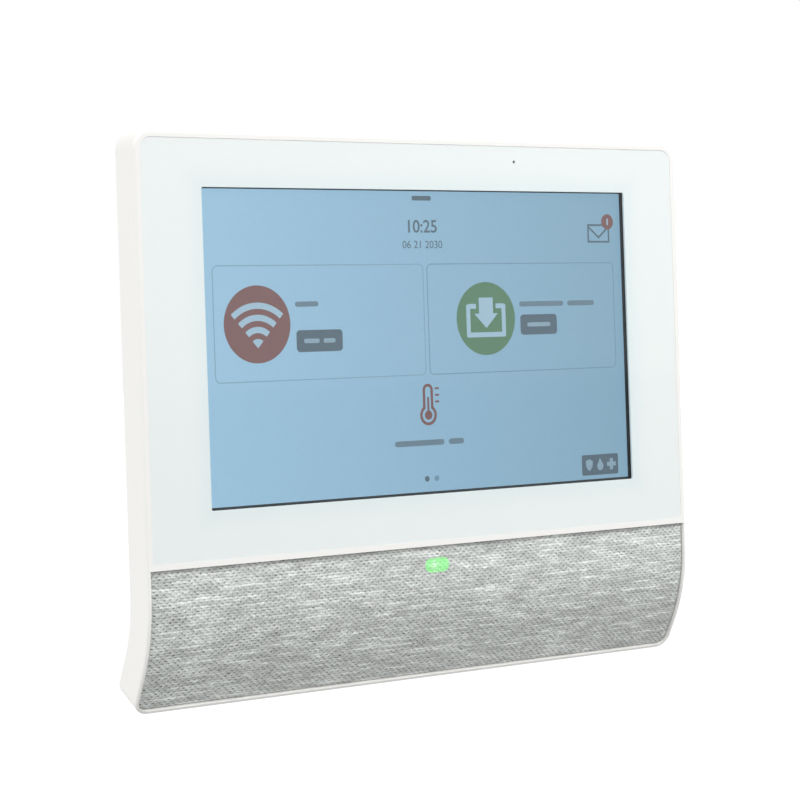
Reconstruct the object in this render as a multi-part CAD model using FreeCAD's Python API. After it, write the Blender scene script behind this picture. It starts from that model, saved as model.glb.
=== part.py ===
import FreeCAD, Part
import os
from math import cos, pi, radians, sin

# Wall-mounted touch control panel with a cloth-covered sound grille.
# Frame: X to the right as seen from the front, Y to the rear, Z up, millimetres.
# Origin: centre of the wall plate, on the wall. The wall is the plane Y = 0, and
# "depth" below is measured to the rear from the front plane of the housing.

# Whole panel
WIDTH = 199.3
TOP_Z = 81.5
BOTTOM_Z = -83.0
FRONT_TO_WALL = 27.0
FRONT_Y = -FRONT_TO_WALL
CORNER_R, LOW_CORNER_R = 5.2, 4.8
CLEAR = 0.3

# Housing band: a constant-thickness band whose lower part sweeps to the rear
BAND = 11.0
WALL = 1.9
SWEEP_R = 50.0
SWEEP_TOP_Z = -49.2
SWEEP_DEG = 28.5
SWEEP_END_Z = SWEEP_TOP_Z - SWEEP_R * sin(radians(SWEEP_DEG))
TAIL = (SWEEP_END_Z - BOTTOM_Z) / cos(radians(SWEEP_DEG))
EDGE_R = 0.8
REAR_EDGE_R = 0.5

# Display stack, centred on the window
WINDOW_Z = 19.8
WINDOW_W, WINDOW_H = 156.1, 91.75
GLASS_W, GLASS_TOP, GLASS_BOTTOM = 195.6, 79.5, -40.0
GLASS_T, GLASS_TOP_R, GLASS_LOW_R = 0.55, 3.6, 0.4
GLASS_DEPTH = 0.1
GLASS_GAP = 0.06
INK_T = 0.1
ADHESIVE_T = 0.15
SENSOR_T = 0.5
LCD_W, LCD_H, LCD_T = 163.0, 98.0, 1.6
LCD_DEPTH = 2.3
BACKLIGHT_W, BACKLIGHT_H, BACKLIGHT_T = 164.6, 99.6, 2.7
MID_DEPTH, MID_T = 7.4, 1.2
LEDGE_DEPTH = 3.0
DISPLAY_OPENING_W, DISPLAY_OPENING_TOP, DISPLAY_OPENING_BOTTOM = 172.0, 72.0, -33.0
SENSOR_DEPTH = GLASS_DEPTH + GLASS_T + INK_T + 0.05
PINHOLE_X, PINHOLE_Z, PINHOLE_R = 33.9, 74.7, 0.5
MIC_BOOT_R, MIC_BOOT_END = 1.6, 5.0

# Sound grille
GRILLE_TOP_Z = -41.65
GRILLE_SIDE, GRILLE_END = 0.95, 1.2
GRILLE_R = 3.7
CLOTH_IN, CLOTH_T = 1.1, 0.35
GRILLE_T = 0.85
GRILLE_LEDGE, GRILLE_TOP_LEDGE, GRILLE_END_LEDGE = 4.0, 1.6, 3.8
LED_Z = -47.5
PILL_W, PILL_H = 8.2, 4.1
PIPE_END = 5.0

# Main board
BOARD_DEPTH, BOARD_T = 11.0, 1.6
BOARD_LEFT, BOARD_RIGHT, BOARD_LOW, BOARD_HIGH = -62.0, 44.0, -9.0, 62.0
BOARD_BACK = BOARD_DEPTH + BOARD_T
CHIP_T = 1.2
SOCKET_T = 1.8
CAN_X, CAN_Z, CAN_T, CAN_WALL = -38.0, 43.0, 2.2, 0.3
TERMINAL_W, TERMINAL_H, TERMINAL_Z = 16.0, 10.0, 4.0
TERMINAL_END = 23.4
FLEX_T, FLEX_LOW_Z = 0.3, -12.2
FLEX_DEPTH = MID_DEPTH + MID_T + 0.4
CARD_LEFT, CARD_RIGHT, CARD_LOW, CARD_HIGH = 50.0, 80.0, 8.0, 62.0
BATTERY_W, BATTERY_H, BATTERY_T = 62.0, 39.0, 6.8
BATTERY_X, BATTERY_Z, BATTERY_DEPTH = -45.0, -44.5, 10.2
AERIAL_T, AERIAL_W, AERIAL_DEPTH = 0.4, 8.0, 10.0

# Rear cover
BOX_W, BOX_TOP, BOX_BOTTOM, BOX_R = 172.0, 68.0, -71.0, 6.0
BOX_END = 26.7
SHELL = 2.0
PLATE_W, PLATE_H, PLATE_T, PLATE_R = 124.0, 104.0, 3.0, 5.0
LIFT = 8.0
POCKET_DEPTH = 23.6
POCKET_GAP = 1.2
RECESS_W, RECESS_LOW, RECESS_HIGH = 68.0, -19.0, 25.0
RECESS_DEPTH, RECESS_WALL = 19.0, 1.8
VENT_W, VENT_H, VENT_PITCH, VENT_COUNT, VENT_Z = 3.0, 7.0, 7.0, 17, 60.5

# Wall plate
OPENING_W, OPENING_LOW, OPENING_HIGH = 64.0, -17.0, 23.0
WALL_HOLE_X, WALL_HOLE_Z, WALL_HOLE_R = 100.0, 88.0, 2.1
SINK_R, SINK_DEPTH = 4.2, 1.6
BOX_SLOT_Z, BOX_SLOT_LEN = 83.3, 8.0
HOOK_X, HOOK_Z = 48.0, 25.0
STEM_W, HEAD_W, HOOK_H, HEAD_T = 4.0, 8.0, 3.0, 1.8

# Controls behind the panel
TAMPER_X, TAMPER_Z, TAMPER_R = -22.0, 12.0, 2.0
RESET_X, RESET_Z, RESET_R = 22.0, 15.0, 2.5
RUNNING = 0.1
FLANGE_R, FLANGE_T = 3.4, 0.8
TAMPER_FLANGE, RESET_FLANGE = 14.6, 15.8
SWITCH_T = 0.8
SPRING_R, SPRING_WIRE_R, SPRING_TURNS = 2.75, 0.175, 2.6

# Screws
REAR_SCREW_X, REAR_SCREW_Z = 91.4, (70.0, 12.0, -44.0)
BOSS_R, SCREW_R, SCREW_HEAD_R = 3.0, 1.0, 2.2
BOSS_START = LEDGE_DEPTH - 0.6
REAR_BORE_START, REAR_SCREW_SEAT, REAR_SCREW_LENGTH = 4.5, BAND - 0.8, 5.0
FRAME_SCREW_X, FRAME_SCREW_Z = 89.0, (45.0, -20.0)
FRAME_BOSS_R = 2.4
FRAME_SCREW_SEAT, FRAME_SCREW_LENGTH = MID_DEPTH + 0.4, 4.2
BOARD_POST_R, BOARD_SCREW_LENGTH = 2.6, 4.2

# Speaker, tilted with the grille
SPEAKER_X, SPEAKER_Z, SPEAKER_TILT = 50.0, -61.5, 15.4
SPEAKER_W, SPEAKER_H = 50.0, 26.0
SPEAKER_DEPTH = 7.3
BASKET_T, BASKET_RIM = 3.9, 3.0
MAGNET_R, MAGNET_START, MAGNET_END = 7.4, 1.9, 7.4
SOUND_HOLE_R, SOUND_HOLE_PITCH = 1.15, 3.6
SOUND_HOLE_COLUMNS, SOUND_HOLE_ROWS = 13, 6


def vec(x, depth, z):
    return FreeCAD.Vector(x, FRONT_Y + depth, z)


def box(x0, x1, depth0, depth1, z0, z1):
    return Part.makeBox(x1 - x0, depth1 - depth0, z1 - z0, vec(x0, depth0, z0))


def centred(width, height, depth0, depth1, x=0.0, z=0.0):
    return box(x - width / 2, x + width / 2, depth0, depth1, z - height / 2, z + height / 2)


def along_y(shape):
    """The edges of a shape that run along Y."""
    found = []
    for edge in shape.Edges:
        direction = edge.tangentAt(edge.FirstParameter)
        if abs(abs(direction.y) - 1) < 1e-6 and edge.Curve.TypeId == "Part::GeomLine":
            found.append(edge)
    return found


def rounded(x0, x1, depth0, depth1, z0, z1, radius):
    block = box(x0, x1, depth0, depth1, z0, z1)
    return block.makeFillet(radius, along_y(block))


def rounded_centred(width, height, depth0, depth1, radius, x=0.0, z=0.0):
    return rounded(x - width / 2, x + width / 2, depth0, depth1, z - height / 2, z + height / 2, radius)


def disc(radius, depth0, depth1, x, z):
    return Part.makeCylinder(radius, depth1 - depth0, vec(x, depth0, z), FreeCAD.Vector(0, 1, 0))


def ring(outer, inner, depth0, depth1, x, z):
    return disc(outer, depth0, depth1, x, z).cut(disc(inner, depth0, depth1, x, z))


def pill(width, height, depth0, depth1, x, z):
    """A flat prism with half-round ends."""
    reach = (width - height) / 2
    shape = centred(2 * reach, height, depth0, depth1, x, z)
    for side in (-reach, reach):
        shape = shape.fuse(disc(height / 2, depth0, depth1, x + side, z))
    return shape.removeSplitter()


def fused(shapes):
    return shapes[0].multiFuse(shapes[1:]).removeSplitter()


def group(shapes):
    return Part.makeCompound(shapes)


def curve_point(offset, angle):
    """A point of the front curve moved inwards by offset, at an angle of its arc."""
    reach = SWEEP_R - offset
    return vec(0, SWEEP_R - reach * cos(radians(angle)), SWEEP_TOP_Z - reach * sin(radians(angle)))


def tail_point(offset, run):
    """A point on the straight run below the arc."""
    start = curve_point(offset, SWEEP_DEG)
    return start + FreeCAD.Vector(0, sin(radians(SWEEP_DEG)), -cos(radians(SWEEP_DEG))) * run


def side_edges(offset, top, run):
    """The side outline at one offset, from its top down to its end."""
    first = vec(0, offset, top)
    bend = curve_point(offset, 0)
    middle = curve_point(offset, SWEEP_DEG / 2)
    end = curve_point(offset, SWEEP_DEG)
    edges = [Part.LineSegment(first, bend).toShape(), Part.Arc(bend, middle, end).toShape()]
    edges.append(Part.LineSegment(end, tail_point(offset, run)).toShape())
    return edges


def swept(offset0, offset1, half, top, run):
    """The band between two offsets from the front curve, cut square at its end."""
    front = side_edges(offset0, top, run)
    rear = side_edges(offset1, top, run)
    cap = Part.LineSegment(vec(0, offset0, top), vec(0, offset1, top)).toShape()
    end = Part.LineSegment(tail_point(offset0, run), tail_point(offset1, run)).toShape()
    wire = Part.Wire(Part.__sortEdges__(front + [end] + rear + [cap]))
    face = Part.Face(wire)
    face.translate(FreeCAD.Vector(-half, 0, 0))
    return face.extrude(FreeCAD.Vector(2 * half, 0, 0))


def band_corners(shape, half, at_top):
    """The two edges where the sides of a band meet its top, or else its end."""
    across = FreeCAD.Vector(0, cos(radians(SWEEP_DEG)), sin(radians(SWEEP_DEG)))
    wanted = FreeCAD.Vector(0, 1, 0) if at_top else across
    found = []
    for edge in shape.Edges:
        ends = [vertex.Point for vertex in edge.Vertexes]
        if len(ends) != 2 or edge.Curve.TypeId != "Part::GeomLine":
            continue
        at_side = all(abs(abs(point.x) - half) < 1e-4 for point in ends)
        direction = (ends[1] - ends[0]).normalize()
        if at_side and abs(abs(direction.dot(wanted)) - 1) < 1e-4:
            found.append(edge)
    return found


def band(offset0, offset1, half, top, run, end_r, top_r=0.0):
    """A swept band with rounded corners at its end and, where top_r is given, at its top."""
    shape = swept(offset0, offset1, half, top, run)
    shape = shape.makeFillet(end_r, band_corners(shape, half, False))
    if top_r:
        shape = shape.makeFillet(top_r, band_corners(shape, half, True))
    return shape


def outline_edges(shape, way):
    """The outer edges of the faces that look to the front (way -1) or to the rear (way 1)."""
    faces = [f for f in shape.Faces
             if way * f.normalAt(*f.Surface.parameter(f.CenterOfMass)).y > 0.8]
    edges = [edge for face in faces for edge in face.OuterWire.Edges]
    return [edge for edge in edges if sum(edge.isSame(other) for other in edges) == 1]


# Parts of the casing

def front_housing():
    half = WIDTH / 2
    outer = band(0, BAND, half, TOP_Z, TAIL, LOW_CORNER_R, CORNER_R)
    outer = outer.makeFillet(EDGE_R, outline_edges(outer, -1))
    outer = outer.makeFillet(REAR_EDGE_R, outline_edges(outer, 1))
    hollow = band(LEDGE_DEPTH, BAND + 2, half - WALL, TOP_Z - WALL, TAIL - WALL,
                  LOW_CORNER_R - WALL, CORNER_R - WALL)
    shape = outer.cut(hollow)
    pocket = glass_outline(-1, GLASS_DEPTH + GLASS_T + INK_T + ADHESIVE_T, GLASS_GAP)
    opening = rounded(-DISPLAY_OPENING_W / 2, DISPLAY_OPENING_W / 2, -1, 5,
                      DISPLAY_OPENING_BOTTOM, DISPLAY_OPENING_TOP, 3)
    grille_half = half - GRILLE_SIDE
    seat_back = CLOTH_IN + CLOTH_T + GRILLE_T
    seat = band(-1, seat_back, grille_half, GRILLE_TOP_Z, TAIL - GRILLE_END, GRILLE_R)
    through = band(1, 4, grille_half - GRILLE_LEDGE, GRILLE_TOP_Z - GRILLE_TOP_LEDGE,
                   TAIL - GRILLE_END - GRILLE_END_LEDGE, GRILLE_R)
    shape = shape.cut(pocket).cut(opening).cut(seat).cut(through)
    bosses = [rear_boss(x, z) for x, z in rear_screw_places()]
    bosses += [disc(FRAME_BOSS_R, BOSS_START, MID_DEPTH, x, z) for x, z in frame_screw_places()]
    shape = fused([shape] + bosses)
    bores = [disc(SCREW_R, REAR_BORE_START, BAND, x, z) for x, z in rear_screw_places()]
    bores += [disc(SCREW_R, BOSS_START, MID_DEPTH, x, z) for x, z in frame_screw_places()]
    bores.append(disc(MIC_BOOT_R, GLASS_DEPTH + GLASS_T, MIC_BOOT_END, PINHOLE_X, PINHOLE_Z))
    return shape.cut(group(bores))


def rear_boss(x, z):
    """A screw post from the front ledge up to the rear cover."""
    return disc(BOSS_R, BOSS_START, BAND - SHELL, x, z)


def rear_screw_places():
    return [(x, z) for x in (-REAR_SCREW_X, REAR_SCREW_X) for z in REAR_SCREW_Z]


def frame_screw_places():
    return [(x, z) for x in (-FRAME_SCREW_X, FRAME_SCREW_X) for z in FRAME_SCREW_Z]


def cover_base():
    """The curved sheet that closes the back of the band."""
    gap = WALL + 0.15
    return band(BAND - SHELL, BAND, WIDTH / 2 - gap, TOP_Z - gap, TAIL - gap,
                LOW_CORNER_R - gap, CORNER_R - gap)


def box_block(inset, depth0, depth1):
    half = BOX_W / 2 - inset
    return rounded(-half, half, depth0, depth1, BOX_BOTTOM + inset, BOX_TOP - inset, BOX_R - inset / 2)


def plate_pocket(grow, depth0):
    """Room for the wall plate, longer below so that the panel can be lifted off."""
    half = PLATE_W / 2 + POCKET_GAP + grow
    low = -PLATE_H / 2 - LIFT - POCKET_GAP - grow
    return rounded(-half, half, depth0, BOX_END + 1, low, PLATE_H / 2 + POCKET_GAP + grow, PLATE_R)


def recess(grow, depth0):
    half = RECESS_W / 2 + grow
    return rounded(-half, half, depth0, BOX_END + 1, RECESS_LOW - grow, RECESS_HIGH + grow, 3)


def hook_slot(x, z):
    """A keyhole slot: the hook's head enters at the wide part, low on the panel."""
    side = 0.4
    narrow = box(x - STEM_W / 2 - side, x + STEM_W / 2 + side, 20, POCKET_DEPTH + 1,
                 z - LIFT - HOOK_H / 2, z + HOOK_H / 2 + CLEAR)
    wide = centred(HEAD_W + 2 * side, HOOK_H + 2 * side, 20, POCKET_DEPTH + 1, x, z - LIFT)
    return narrow.fuse(wide)


def vents():
    """A row of cooling slots high on the back."""
    first = -VENT_PITCH * (VENT_COUNT - 1) / 2
    return [pill_upright(VENT_W, VENT_H, 20, 30, first + VENT_PITCH * i, VENT_Z) for i in range(VENT_COUNT)]


def pill_upright(width, height, depth0, depth1, x, z):
    reach = (height - width) / 2
    shape = centred(width, 2 * reach, depth0, depth1, x, z)
    for side in (-reach, reach):
        shape = shape.fuse(disc(width / 2, depth0, depth1, x, z + side))
    return shape


def rear_cover():
    inside = swept(-2, BAND - SHELL, WIDTH, TOP_Z, TAIL + 5)
    shape = cover_base().fuse(box_block(0, BAND - SHELL, BOX_END).cut(inside))
    cavity = box_block(SHELL, 0, BOX_END - SHELL)
    cavity = cavity.cut(plate_pocket(SHELL, POCKET_DEPTH - SHELL))
    cavity = cavity.cut(recess(RECESS_WALL, RECESS_DEPTH - RECESS_WALL))
    shape = shape.cut(cavity).cut(plate_pocket(0, POCKET_DEPTH)).cut(recess(0, RECESS_DEPTH))
    cuts = [hook_slot(x, z) for x, z in hook_places()]
    cuts += vents()
    start, end = RECESS_DEPTH - RECESS_WALL - 1, RECESS_DEPTH + 1
    cuts.append(disc(TAMPER_R + RUNNING, start, end, TAMPER_X, TAMPER_Z))
    cuts.append(disc(RESET_R + RUNNING, start, end, RESET_X, RESET_Z))
    cuts.append(centred(TERMINAL_W + 2 * CLEAR, TERMINAL_H + 2 * CLEAR, start, end, 0, TERMINAL_Z))
    cuts += [disc(SCREW_R + 0.2, REAR_BORE_START, BOX_END, x, z) for x, z in rear_screw_places()]
    cuts += [disc(SCREW_HEAD_R + CLEAR, REAR_SCREW_SEAT, BOX_END, x, z) for x, z in rear_screw_places()]
    return shape.cut(group(cuts))


def wall_plate():
    back = FRONT_TO_WALL
    front = back - PLATE_T
    shape = rounded_centred(PLATE_W, PLATE_H, front, back, PLATE_R)
    opening = rounded(-OPENING_W / 2, OPENING_W / 2, front - 1, back + 1, OPENING_LOW, OPENING_HIGH, 4)
    shape = shape.cut(opening)
    for x in (-WALL_HOLE_X / 2, WALL_HOLE_X / 2):
        for z in (-WALL_HOLE_Z / 2, WALL_HOLE_Z / 2):
            shape = shape.cut(disc(WALL_HOLE_R, front - 1, back + 1, x, z))
            shape = shape.cut(disc(SINK_R, front - 1, front + SINK_DEPTH, x, z))
    for z in (-BOX_SLOT_Z / 2, BOX_SLOT_Z / 2):
        shape = shape.cut(pill_upright(2 * WALL_HOLE_R, BOX_SLOT_LEN, front - 1, back + 1, 0, z))
    return fused([shape] + [hook(x, z) for x, z in hook_places()])


def hook_places():
    return [(x, z) for x in (-HOOK_X, HOOK_X) for z in (-HOOK_Z, HOOK_Z)]


def hook(x, z):
    front = FRONT_TO_WALL - PLATE_T
    inside = POCKET_DEPTH - SHELL - CLEAR
    stem = centred(STEM_W, HOOK_H, inside - HEAD_T, front + 1, x, z)
    head = centred(HEAD_W, HOOK_H, inside - HEAD_T, inside, x, z)
    return stem.fuse(head)


# Display stack

def glass_outline(depth0, depth1, grow=0.0):
    """The outline of the cover glass: well rounded at its top, nearly square below."""
    half = GLASS_W / 2 + grow
    block = box(-half, half, depth0, depth1, GLASS_BOTTOM - grow, GLASS_TOP + grow)
    edges = along_y(block)
    top = [edge for edge in edges if edge.CenterOfMass.z > WINDOW_Z]
    block = block.makeFillet(GLASS_TOP_R + grow, top)
    low = [edge for edge in along_y(block) if edge.CenterOfMass.z < WINDOW_Z]
    return block.makeFillet(GLASS_LOW_R, low)


def window(depth0, depth1, grow=0.0):
    return rounded_centred(WINDOW_W + 2 * grow, WINDOW_H + 2 * grow, depth0, depth1, 0.3, 0, WINDOW_Z)


def cover_glass():
    shape = glass_outline(GLASS_DEPTH, GLASS_DEPTH + GLASS_T)
    edges = [e for e in shape.Edges if e.BoundBox.YMax < FRONT_Y + GLASS_DEPTH + 1e-4]
    shape = shape.makeFillet(0.25, edges)
    return shape.cut(disc(PINHOLE_R, -1, 3, PINHOLE_X, PINHOLE_Z))


def border_print():
    back = GLASS_DEPTH + GLASS_T
    shape = glass_outline(back, back + INK_T).cut(window(back - 1, back + 1))
    return shape.cut(disc(PINHOLE_R, -1, 3, PINHOLE_X, PINHOLE_Z))


def glass_adhesive():
    front = GLASS_DEPTH + GLASS_T + INK_T
    shape = glass_outline(front, front + ADHESIVE_T, -0.3)
    shape = shape.cut(rounded(-88, 88, front - 1, front + 1, -35.0, 74.0, 3))
    return shape.cut(disc(MIC_BOOT_R + 0.2, 0, 3, PINHOLE_X, PINHOLE_Z))


def touch_sensor():
    return rounded_centred(170, 103.5, SENSOR_DEPTH, SENSOR_DEPTH + SENSOR_T, 1, 0, WINDOW_Z)


def display_gasket():
    front = SENSOR_DEPTH + SENSOR_T
    shape = rounded_centred(LCD_W, LCD_H, front, LCD_DEPTH, 1, 0, WINDOW_Z)
    return shape.cut(window(front - 1, LCD_DEPTH + 1, 1.0))


def lcd_panel():
    return centred(LCD_W, LCD_H, LCD_DEPTH, LCD_DEPTH + LCD_T, 0, WINDOW_Z)


def backlight_unit():
    """A tray that carries the liquid-crystal cell, with a step behind it."""
    front = LCD_DEPTH + LCD_T + 0.05
    tray = rounded_centred(BACKLIGHT_W, BACKLIGHT_H, front, front + BACKLIGHT_T, 1, 0, WINDOW_Z)
    slot = centred(BACKLIGHT_W - 8, 5, front + 1.5, front + 3, 0, WINDOW_Z - BACKLIGHT_H / 2 + 6)
    return tray.cut(slot)


def mid_frame():
    """Stiff chassis plate behind the display, screwed to the housing at four ears."""
    plate = rounded_centred(169.0, 102.0, MID_DEPTH, MID_DEPTH + MID_T, 2, 0, WINDOW_Z - 0.3)
    ears = [box(min(x, 0.9 * x), max(x, 0.9 * x), MID_DEPTH, MID_DEPTH + MID_T, z - 3.5, z + 3.5)
            for x, z in frame_screw_places()]
    tips = [disc(3.5, MID_DEPTH, MID_DEPTH + MID_T, x, z) for x, z in frame_screw_places()]
    posts = [disc(BOARD_POST_R, MID_DEPTH + 0.5, BOARD_DEPTH, x, z) for x, z in board_screw_places()]
    shape = fused([plate] + ears + tips + posts)
    holes = [disc(SCREW_R + 0.2, MID_DEPTH - 1, MID_DEPTH + 3, x, z) for x, z in frame_screw_places()]
    holes += [disc(SCREW_HEAD_R + 0.1, FRAME_SCREW_SEAT, MID_DEPTH + 3, x, z) for x, z in frame_screw_places()]
    holes += [disc(SCREW_R, MID_DEPTH + 0.6, BOARD_DEPTH + 1, x, z) for x, z in board_screw_places()]
    for x in (-55, 0, 55):
        holes.append(rounded_centred(24, 14, MID_DEPTH - 1, MID_DEPTH + 2, 3, x, -18))
    return shape.cut(group(holes))


# Electronics

def board_screw_places():
    inset = 4.0
    xs = (BOARD_LEFT + inset, BOARD_RIGHT - inset)
    zs = (BOARD_LOW + inset, BOARD_HIGH - inset)
    return [(x, z) for x in xs for z in zs]


def main_board():
    shape = rounded(BOARD_LEFT, BOARD_RIGHT, BOARD_DEPTH, BOARD_BACK, BOARD_LOW, BOARD_HIGH, 2)
    holes = [disc(SCREW_R + 0.2, BOARD_DEPTH - 1, BOARD_BACK + 1, x, z) for x, z in board_screw_places()]
    holes.append(box(-12, 8, BOARD_DEPTH - 1, BOARD_BACK + 1, BOARD_HIGH - 5, BOARD_HIGH + 1))
    return shape.cut(group(holes))


def shield_cans():
    """Pressed covers over the processor and the radio, open towards the board."""
    cans = []
    for width, height, x, z in ((34, 24, CAN_X, CAN_Z), (22, 24, 26, 42), (18, 14, -50, 18)):
        can = rounded_centred(width, height, BOARD_BACK, BOARD_BACK + CAN_T, 1, x, z)
        hollow = rounded_centred(width - 2 * CAN_WALL, height - 2 * CAN_WALL, BOARD_BACK - 1,
                                 BOARD_BACK + CAN_T - CAN_WALL, 1 - CAN_WALL, x, z)
        cans.append(can.cut(hollow))
    return group(cans)


def board_chips():
    """Processor, memory, radio and power chips, and a row of round capacitors."""
    chips = []
    for width, height, x, z in ((14, 14, -44, 43), (9, 11, -29, 46), (8, 8, 26, 44), (6, 5, 30, 35),
                                (7, 7, -50, 18), (5, 6, -6, 38), (6, 6, 6, 29)):
        chips.append(centred(width, height, BOARD_BACK, BOARD_BACK + CHIP_T, x, z))
    for i in range(5):
        chips.append(disc(2.0, BOARD_BACK, BOARD_BACK + 3.2, -13 + 5.5 * i, 52))
    return group(chips)


def heat_spreader():
    """A metal sheet on the thermal pad over the processor's cover."""
    front = BOARD_BACK + CAN_T + 0.1
    return rounded_centred(42, 28, front, front + 0.8, 2, CAN_X, CAN_Z)


def board_connectors():
    """Ribbon sockets, the battery socket and the speaker socket."""
    places = ((22, 4, -25, -4), (9, 4, 14, -5), (6, 5, -52, -3), (6, 5, 30, -5), (4, 18, 40, 25))
    return group([centred(w, h, BOARD_BACK, BOARD_BACK + SOCKET_T, x, z) for w, h, x, z in places])


def terminal_block():
    """Screw block for the supply pair: wire mouths below, screws above."""
    body = centred(TERMINAL_W, TERMINAL_H, BOARD_BACK, TERMINAL_END, 0, TERMINAL_Z)
    for x in (-4, 4):
        body = body.cut(centred(3.8, 3.6, TERMINAL_END - 6, TERMINAL_END + 1, x, TERMINAL_Z - 2.4))
        body = body.cut(disc(1.7, TERMINAL_END - 5, TERMINAL_END + 1, x, TERMINAL_Z + 2.6))
    return body


def terminal_screws():
    screws = []
    for x in (-4, 4):
        screw = disc(1.6, TERMINAL_END - 5, TERMINAL_END - 1.5, x, TERMINAL_Z + 2.6)
        slot = centred(3.4, 0.5, TERMINAL_END - 2.2, TERMINAL_END, x, TERMINAL_Z + 2.6)
        screws.append(screw.cut(slot))
    return group(screws)


def flat_flex(width, x, end_z):
    """A ribbon from behind the chassis, round the board's lower edge, to its socket."""
    left, right = x - width / 2, x + width / 2
    back = BOARD_BACK + 2 * FLEX_T
    front = box(left, right, FLEX_DEPTH, back, FLEX_LOW_Z - FLEX_T, FLEX_LOW_Z)
    tongue = box(left, right, back - FLEX_T, back, FLEX_LOW_Z, end_z)
    return front.fuse(tongue).removeSplitter()


def lcd_flex():
    return flat_flex(18, -25, -6.2)


def touch_flex():
    return flat_flex(7, 14, -7.2)


def radio_card():
    return rounded(CARD_LEFT, CARD_RIGHT, BOARD_DEPTH, BOARD_DEPTH + 1, CARD_LOW, CARD_HIGH, 1)


def radio_module():
    return rounded(CARD_LEFT + 3, CARD_RIGHT - 3, BOARD_DEPTH + 1.05, BOARD_DEPTH + 3.4, 16, 50, 1)


def antennas():
    """Flexible aerials stuck inside the top and the right of the casing."""
    start, end = AERIAL_DEPTH, AERIAL_DEPTH + AERIAL_W
    top = BOX_TOP - SHELL - AERIAL_T
    right = BOX_W / 2 - SHELL - AERIAL_T
    return group([centred(46, AERIAL_T, start, end, -50, top), centred(30, AERIAL_T, start, end, 40, top),
                  centred(AERIAL_T, 40, start, end, right, -30)])


def battery_pack():
    end = BATTERY_DEPTH + BATTERY_T
    return rounded_centred(BATTERY_W, BATTERY_H, BATTERY_DEPTH, end, 3, BATTERY_X, BATTERY_Z)


def battery_pad():
    start = BATTERY_DEPTH + BATTERY_T + 0.05
    return centred(BATTERY_W - 12, BATTERY_H - 11, start, start + 0.95, BATTERY_X, BATTERY_Z)


def mic_boot():
    front = GLASS_DEPTH + GLASS_T + INK_T
    return ring(MIC_BOOT_R - 0.1, 0.4, front, MIC_BOOT_END, PINHOLE_X, PINHOLE_Z)


def mic_board():
    start = MIC_BOOT_END + 0.05
    return rounded_centred(12, 4.4, start, start + 0.8, 0.8, PINHOLE_X, PINHOLE_Z + 0.2)


def mic_capsule():
    start = MIC_BOOT_END + 0.9
    return centred(3.8, 2.9, start, start + 1, PINHOLE_X, PINHOLE_Z)


# Grille and sound

def grille_run():
    return TAIL - GRILLE_END - 0.1


def grille_cloth():
    half = WIDTH / 2 - GRILLE_SIDE - 0.1
    return band(CLOTH_IN, CLOTH_IN + CLOTH_T, half, GRILLE_TOP_Z - 0.1, grille_run(), GRILLE_R - 0.1)


def grille_frame():
    """The stiff backing under the cloth, pierced for the sound and for the light."""
    half = WIDTH / 2 - GRILLE_SIDE - 0.1
    front = CLOTH_IN + CLOTH_T
    shape = band(front, front + GRILLE_T, half, GRILLE_TOP_Z - 0.1, grille_run(), GRILLE_R - 0.1)
    holes = [pill(PILL_W + 0.3, PILL_H + 0.3, -1, 4, 0, LED_Z)]
    for row in range(SOUND_HOLE_ROWS):
        stagger = 0.25 * (-1) ** row
        z = SPEAKER_Z + 0.87 * SOUND_HOLE_PITCH * (row - (SOUND_HOLE_ROWS - 1) / 2)
        for column in range(SOUND_HOLE_COLUMNS):
            x = SPEAKER_X + SOUND_HOLE_PITCH * (column - (SOUND_HOLE_COLUMNS - 1) / 2 + stagger)
            holes.append(disc(SOUND_HOLE_R, -2, 14, x, z))
    return shape.cut(group(holes))


def light_pipe():
    return pill(PILL_W, PILL_H, CLOTH_IN + CLOTH_T + 0.05, PIPE_END, 0, LED_Z)


def led_board():
    return rounded_centred(20, 8, PIPE_END + 0.9, PIPE_END + 1.9, 1, 0, LED_Z)


def status_led():
    return centred(3.4, 2.8, PIPE_END + 0.1, PIPE_END + 0.85, 0, LED_Z)


def tilted(shape):
    """Leans a part that was made around the speaker's centre, so that it follows the grille."""
    turned = shape.copy()
    turned.rotate(vec(SPEAKER_X, SPEAKER_DEPTH, SPEAKER_Z), FreeCAD.Vector(1, 0, 0), SPEAKER_TILT)
    return turned


def speaker_part(width, height, start, end, radius, hollow=None):
    shape = rounded_centred(width, height, SPEAKER_DEPTH + start, SPEAKER_DEPTH + end, radius,
                            SPEAKER_X, SPEAKER_Z)
    if hollow is not None:
        shape = shape.cut(hollow)
    return tilted(shape)


def speaker_hollow(rim, start, end, radius):
    return rounded_centred(SPEAKER_W - 2 * rim, SPEAKER_H - 2 * rim, start, end, radius, SPEAKER_X, SPEAKER_Z)


def speaker_gasket():
    return speaker_part(SPEAKER_W, SPEAKER_H, -1.2, -0.05, 3, speaker_hollow(BASKET_RIM, 0, 20, 8))


def speaker_basket():
    """The driver's moulded frame, open in front and bored for the magnet behind."""
    hollow = speaker_hollow(BASKET_RIM, 0, SPEAKER_DEPTH + BASKET_T - 1.4, 8)
    hollow = hollow.fuse(disc(MAGNET_R + 0.2, 0, 30, SPEAKER_X, SPEAKER_Z))
    return speaker_part(SPEAKER_W, SPEAKER_H, 0, BASKET_T, 3, hollow)


def speaker_surround():
    inset = 2 * BASKET_RIM + 0.2
    return speaker_part(SPEAKER_W - inset, SPEAKER_H - inset, 0.6, 1.1, 7.8, speaker_hollow(6, 0, 20, 6))


def speaker_cone():
    inset = 12.6
    return speaker_part(SPEAKER_W - inset, SPEAKER_H - inset, 0.5, 1.3, 5.7)


def speaker_magnet():
    start, end = SPEAKER_DEPTH + MAGNET_START, SPEAKER_DEPTH + MAGNET_END
    return tilted(disc(MAGNET_R, start, end, SPEAKER_X, SPEAKER_Z))


# Moving controls behind the panel

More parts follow.
